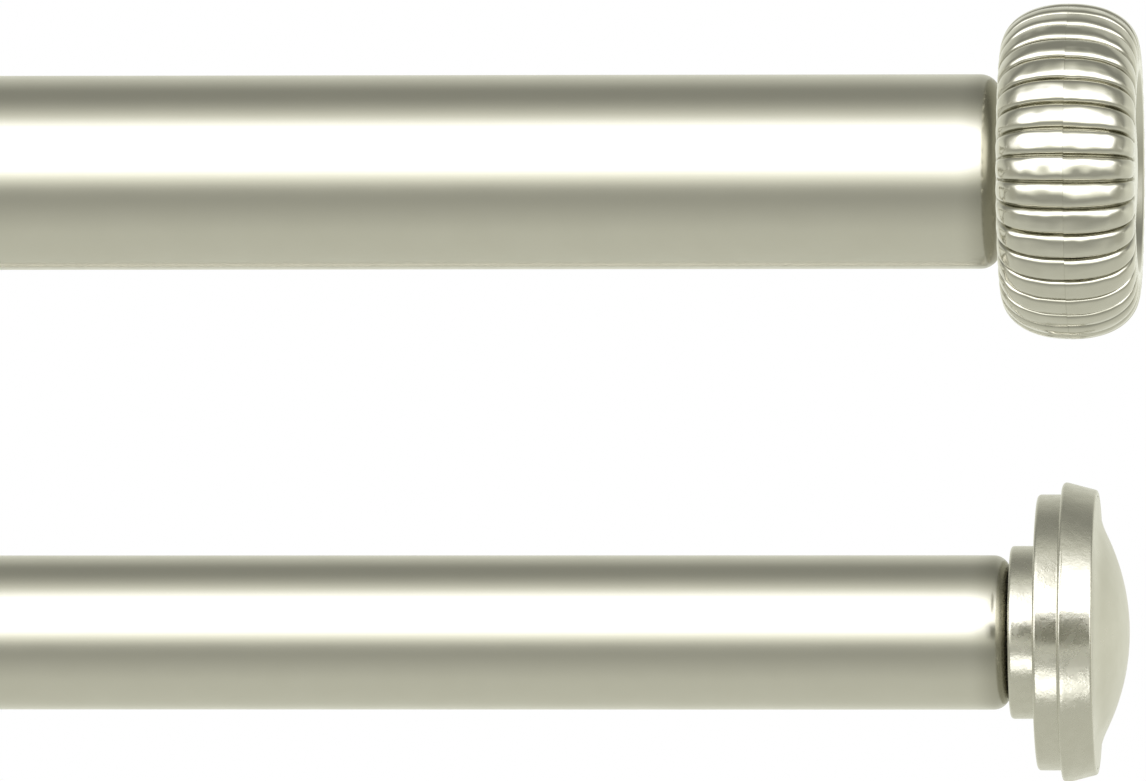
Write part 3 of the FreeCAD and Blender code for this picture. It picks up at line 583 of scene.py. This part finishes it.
@dataclass
class EndCap:
    """A cap of three steps that widen away from the rod, with a domed face set in the last one's rim."""

    side: Side
    bore: float = 6.05 * MM           # for the plug's neck
    steps: tuple[tuple[float, float], ...] = ((3.6 * MM, 11.5 * MM), (6.95 * MM, 18.35 * MM))
    rim: float = 20.1 * MM            # radius of the third step where it starts
    taper: float = 1.2 * MM           # how far the rim narrows towards its front
    land: float = 0.75 * MM           # width of the rim round the face
    seat: float = 2.2 * MM            # how deep the face sits in the rim
    edge: float = 0.5 * MM            # rounding of each step's outer edge
    nook: float = 0.18 * MM           # rounding where one step meets the next
    dome: float = 29.5 * MM           # radius of the sphere
    dome_edge: float = 13.0 * MM      # distance from the axis at which the cove takes over
    sides: int = 256

    def build(self) -> None:
        """Makes the stepped base and the domed face in the place of their CAD nodes."""
        base, face = (f"cap_{part}_{self.side.word}" for part in ("base", "face"))
        low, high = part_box(base)
        near = low.x if self.side is Side.RIGHT else high.x
        self.depth = high.x - low.x
        middle = middle_of(base)
        axis = Axis((near, middle.y, middle.z), (self.side.value, 0, 0))
        body = f"{self.side.word}_cap"
        piece(base + "_casting", turned(self.base_outline(), even(self.sides), axis), SANDY_CASTING, body,
              [base])
        piece(face + "_disc", turned(self.face_outline(), even(self.sides), axis, False),
              SATIN_DISC, body, [face])

    def base_outline(self) -> np.ndarray:
        """Closed outline of the base: bore, three steps, rim and the seat of the face."""
        (one, first), (two, second) = self.steps
        opening = self.rim - self.taper - self.land
        floor = self.depth - self.seat
        return rounded([
            (floor, self.bore, 0.1 * MM), (0, self.bore, 0.15 * MM), (0, first, self.edge),
            (one, first, self.nook), (one, second, self.edge), (two, second, self.nook),
            (two, self.rim, self.edge), (self.depth, self.rim - self.taper, self.edge * 0.8),
            (self.depth, opening, 0.12 * MM), (floor, opening, 0.1 * MM),
        ], 8)

    def face_outline(self) -> np.ndarray:
        """Open outline of the face, from its back on the axis to the dome's top.

        Inside dome_edge it is a sphere of the dome's radius.  Outside, a circle of radius
        (edge - dome_edge) * dome / dome_edge carries it tangentially down to the rim's plane.
        """
        edge = self.rim - self.taper - self.land - 0.05 * MM
        back = self.depth - self.seat
        cove = (edge - self.dome_edge) * self.dome / self.dome_edge
        out = np.linspace(edge - 0.25 * MM, self.dome_edge, 14)
        cove_rise = cove - np.sqrt(cove ** 2 - (edge - out) ** 2)
        inward = np.linspace(self.dome_edge, 0, 22)[1:]
        drop = math.sqrt(self.dome ** 2 - self.dome_edge ** 2)
        dome_rise = cove_rise[-1] + np.sqrt(self.dome ** 2 - inward ** 2) - drop
        corners = [(back, 0, 0), (back, edge, 0.1 * MM), (self.depth, edge, 0.12 * MM)]
        corners += [(self.depth + h, r, 0) for h, r in zip(cove_rise, out)]
        corners += [(self.depth + h, r, 0) for h, r in zip(dome_rise, inward)]
        return rounded(corners, 5, closed=False)


# ---------------------------------------------------------------- carried-over CAD nodes
@dataclass(frozen=True)
class Dressing:
    """CAD nodes whose shape is right and which only get a finish."""

    finish: Finish
    names: tuple[str, ...]
    mirrored: bool = True             # whether the tubes pick up their image

    def apply(self) -> None:
        """Puts the finish on each node that starts with one of the names."""
        material = self.finish.material()
        for name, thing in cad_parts.items():
            if name.startswith(self.names) and not thing.hide_render:
                thing.data.materials.clear()
                thing.data.materials.append(material)
                thing.visible_glossy = thing.visible_shadow = self.mirrored
                LOG.info("%s: dressed in %s", name, self.finish.name)


# ---------------------------------------------------------------- studio
def sheet(name: str, corners: list[tuple[float, float, float]], material_name: str, colour: str,
          roughness: float) -> bpy.types.Object:
    """Stages one flat four-sided sheet.

    Args:
        name: the sheet's name.
        corners: its four corners.
        material_name: the name of its material.
        colour: the material's sRGB hex colour.
        roughness: the material's roughness.

    Returns:
        The new object.
    """
    mesh = bpy.data.meshes.new(name)
    mesh.from_pydata(corners, [], [(0, 1, 2, 3)])
    thing = bpy.data.objects.new(name, mesh)
    bpy.context.scene.collection.objects.link(thing)
    material = bpy.data.materials.new(material_name)
    material.use_nodes = True
    shader = material.node_tree.nodes["Principled BSDF"]
    shader.inputs["Base Color"].default_value = linear(colour)
    shader.inputs["Roughness"].default_value = roughness
    mesh.materials.append(material)
    return thing


@dataclass
class Studio:
    """Pale floor, soft light all round, a small light and a card for each cap, and the camera."""

    azimuth: float = math.radians(4.0)
    elevation: float = math.radians(-0.6)
    lens: float = 700.0               # millimetres on a 36 mm sensor
    sensor: float = 36.0
    view_width: float = 149.3 * MM    # what the picture's width spans at the front rod
    off_finial: float = 55.75 * MM    # the picture's middle, in from the finial's back
    below_rod: float = 28.46 * MM     # and below the front rod's axis
    floor_drop: float = 60 * MM
    floor_half: float = 3.4
    cap_light_size: tuple[float, float] = (0.12, 0.035)
    cap_light_power: float = 0.035
    cap_light_drop: float = math.radians(40)
    cap_light_reach: float = 0.13
    flag_stand: float = 32 * MM       # how far each cap's grey card stands in front of the cap's middle
    flag_half: float = 5.2 * MM       # half its height
    flag_rise: float = 1.0 * MM       # how far its middle is above the cap's
    flag_inward: float = 3 * MM       # how far it reaches past the cap's back, towards the rod
    flag_outward: float = 10 * MM     # and past its front
    sky_peak: float = 3.2
    shade_below: float = 1.4          # darker bands than this take the room's olive shade
    shade: tuple[float, float, float] = (1.0, 1.01, 0.9)
    sky: tuple[tuple[float, float], ...] = (
        (-180, 1.0), (-130, 0.8), (-75, 0.76), (-50, 0.6), (-33, 0.46), (-20, 0.5), (-6, 1.3), (4, 2.4),
        (14, 3.2), (44, 3.2), (56, 1.8), (68, 0.9), (84, 0.48), (96, 0.34), (114, 0.34), (132, 0.62),
        (150, 0.8), (180, 1.0))
    end_dark: tuple[float, float, float, float] = (0.17, 0.17, 0.145, 1.0)  # what the rods' ends face

    def build(self) -> None:
        """Makes the floor, the light and the camera."""
        self.make_floor()
        self.make_light()
        self.make_camera()
        for side in Side:
            self.make_cap_light(side)
            self.make_cap_flag(side)
        settings = bpy.context.scene.view_settings
        settings.view_transform = "Standard"
        settings.look = "None"

    def make_floor(self) -> None:
        """A plain pale floor under the whole set."""
        level = CAD_BOX[0].z - self.floor_drop
        half = self.floor_half
        floor = sheet("floor", [(-half, -half, level), (half, -half, level), (half, half, level),
                                (-half, half, level)], "paper_matt_pale", "#ECEBE7", 0.9)
        floor.visible_glossy = False

    def make_light(self) -> None:
        """A sky in soft bands round the rods' direction, white behind everything that the camera sees.

        The band at an angle round X, from the horizon in front (0) over the top (90) to the horizon behind
        (180) and from it underneath (-90), has the brightness that the ramp gives it.
        """
        world = bpy.data.worlds.new("studio")
        bpy.context.scene.world = world
        world.use_nodes = True
        tree = world.node_tree
        tree.nodes.clear()
        way = node(tree, "ShaderNodeTexCoord").outputs["Generated"]
        parts = node(tree, "ShaderNodeSeparateXYZ", inputs={"Vector": way})
        ahead = node(tree, "ShaderNodeMath", {"operation": "MULTIPLY"}, {0: parts.outputs["Y"], 1: -1.0})
        angle = node(tree, "ShaderNodeMath", {"operation": "ARCTAN2"}, {0: parts.outputs["Z"],
                                                                       1: ahead.outputs["Value"]})
        place = node(tree, "ShaderNodeMapRange", inputs={
            "Value": angle.outputs["Value"], "From Min": -math.pi, "From Max": math.pi})
        bands = node(tree, "ShaderNodeValToRGB", inputs={"Fac": place.outputs["Result"]})
        self.fill_bands(bands.color_ramp)
        sideways = node(tree, "ShaderNodeMath", {"operation": "ABSOLUTE"}, {0: parts.outputs["X"]})
        to_side = node(tree, "ShaderNodeMapRange", {"interpolation_type": "SMOOTHSTEP"}, {
            "Value": sideways.outputs["Value"], "From Min": 0.78, "From Max": 0.98})
        in_front = node(tree, "ShaderNodeMapRange", {"interpolation_type": "SMOOTHSTEP"}, {
            "Value": ahead.outputs["Value"], "From Min": -0.3, "From Max": 0.2})
        share = node(tree, "ShaderNodeMath", {"operation": "MULTIPLY"}, {
            0: to_side.outputs["Result"], 1: in_front.outputs["Result"]})
        sky = node(tree, "ShaderNodeMix", {"data_type": "RGBA"}, {
            "Factor": share.outputs["Value"], "A": bands.outputs["Color"], "B": self.end_dark})
        lit = node(tree, "ShaderNodeBackground", inputs={"Color": sky.outputs["Result"],
                                                         "Strength": self.sky_peak})
        plain = node(tree, "ShaderNodeBackground", inputs={"Color": (1.0, 1.0, 1.0, 1.0)})
        seen = node(tree, "ShaderNodeLightPath").outputs["Is Camera Ray"]
        mixed = node(tree, "ShaderNodeMixShader", inputs={0: seen, 1: lit.outputs["Background"],
                                                          2: plain.outputs["Background"]})
        node(tree, "ShaderNodeOutputWorld", inputs={"Surface": mixed.outputs["Shader"]})

    def fill_bands(self, ramp: bpy.types.ColorRamp) -> None:
        """Sets the ramp's stops to the sky's bands, as shares of its peak."""
        ramp.interpolation = "LINEAR"
        for index, (degrees, brightness) in enumerate(self.sky):
            position = (degrees + 180) / 360
            stop = ramp.elements[index] if index < 2 else ramp.elements.new(position)
            stop.position = position
            shade = self.shade if brightness < self.shade_below else (1.0, 1.0, 1.0)
            stop.color = tuple(brightness / self.sky_peak * part for part in shade) + (1.0,)

    def make_cap_light(self, side: Side) -> None:
        """A small soft light low in front of each cap, which draws the second line of light on its steps."""
        middle = middle_of(f"cap_base_{side.word}")
        data = bpy.data.lights.new(f"cap_light_{side.word}", "AREA")
        data.shape = "RECTANGLE"
        data.size, data.size_y = self.cap_light_size
        data.energy = self.cap_light_power
        lamp = bpy.data.objects.new(data.name, data)
        bpy.context.scene.collection.objects.link(lamp)
        away = Vector((0, -math.cos(self.cap_light_drop), -math.sin(self.cap_light_drop)))
        lamp.location = middle + away * self.cap_light_reach
        lamp.rotation_mode = "QUATERNION"
        lamp.rotation_quaternion = (-away).to_track_quat("-Z", "Y")
        lamp.visible_camera = False
        lit = bpy.data.collections.new(data.name + "_receivers")
        lit.objects.link(bpy.data.objects[f"cap_base_{side.word}_casting"])
        lamp.light_linking.receiver_collection = lit

    def make_cap_flag(self, side: Side) -> None:
        """A narrow grey card in front of each cap, for the dark line between its two lines of light."""
        low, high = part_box(f"cap_base_{side.word}")
        middle = (low + high) / 2
        ends = sorted((side.value * low.x, side.value * high.x))
        back, front = (side.value * (ends[0] - self.flag_inward), side.value * (ends[1] + self.flag_outward))
        y, level = middle.y - self.flag_stand, middle.z + self.flag_rise
        bottom, top = level - self.flag_half, level + self.flag_half
        card = sheet(f"cap_flag_{side.word}", [(back, y, bottom), (front, y, bottom), (front, y, top),
                                               (back, y, top)], "card_matt_grey", "#9A9A8E", 0.95)
        card.visible_camera = card.visible_shadow = card.visible_diffuse = False

    def make_camera(self) -> None:
        """A long lens near the height of the rods, a little to the right of square on."""
        rod = middle_of("front_outer_tube")
        back_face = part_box("finial_inner_half_right")[0].x
        aim = Vector((back_face - self.off_finial / math.cos(self.azimuth), rod.y, rod.z - self.below_rod))
        back = Vector((math.sin(self.azimuth) * math.cos(self.elevation),
                       -math.cos(self.azimuth) * math.cos(self.elevation), math.sin(self.elevation)))
        data = bpy.data.cameras.new("camera")
        data.lens, data.sensor_width = self.lens, self.sensor
        data.clip_start, data.clip_end = 0.1, 40.0
        camera = bpy.data.objects.new("camera", data)
        bpy.context.scene.collection.objects.link(camera)
        camera.location = aim + back * (self.view_width * self.lens / self.sensor)
        camera.rotation_mode = "QUATERNION"
        camera.rotation_quaternion = (-back).to_track_quat("-Z", "Y")
        bpy.context.scene.camera = camera


def main() -> None:
    """Builds every piece in order, then the studio."""
    logging.basicConfig(level=logging.INFO, format="%(name)s %(message)s")
    for tube in (
        Tube("front_outer_tube", "front_rod", Side.RIGHT, 0.8 * MM, 2.6 * MM, 10.0 * MM, False),
        Tube("front_inner_tube", "front_inner_rod", Side.LEFT, 0.8 * MM, 2.6 * MM, 8.4 * MM, False),
        Tube("rear_outer_tube", "rear_rod", Side.RIGHT, 0.7 * MM, 2.2 * MM, 8.0 * MM, True),
        Tube("rear_inner_tube", "rear_inner_rod", Side.LEFT, 0.7 * MM, 2.2 * MM, 6.4 * MM, True),
    ):
        tube.build()
    for side in Side:
        Finial(side).build()
        EndCap(side).build()
    for dressing in (
        Dressing(SATIN_BRACKET, ("wall_plate", "front_arm", "rear_arm", "front_cradle", "rear_cradle")),
        Dressing(BRIGHT_BRASS, ("front_thumb_screw", "rear_thumb_screw", "sleeve_lock_screw")),
        Dressing(ZINC_STEEL, ("arm_fixing_screws",)),
        Dressing(DARK_PLASTIC, ("rear_guide_bush", "rear_inner_glide", "rear_plug")),
        Dressing(DARK_PLASTIC, ("front_guide_bush", "front_inner_glide", "front_plug"), mirrored=False),
    ):
        dressing.apply()
    Studio().build()


if __name__ == "__main__":
    main()
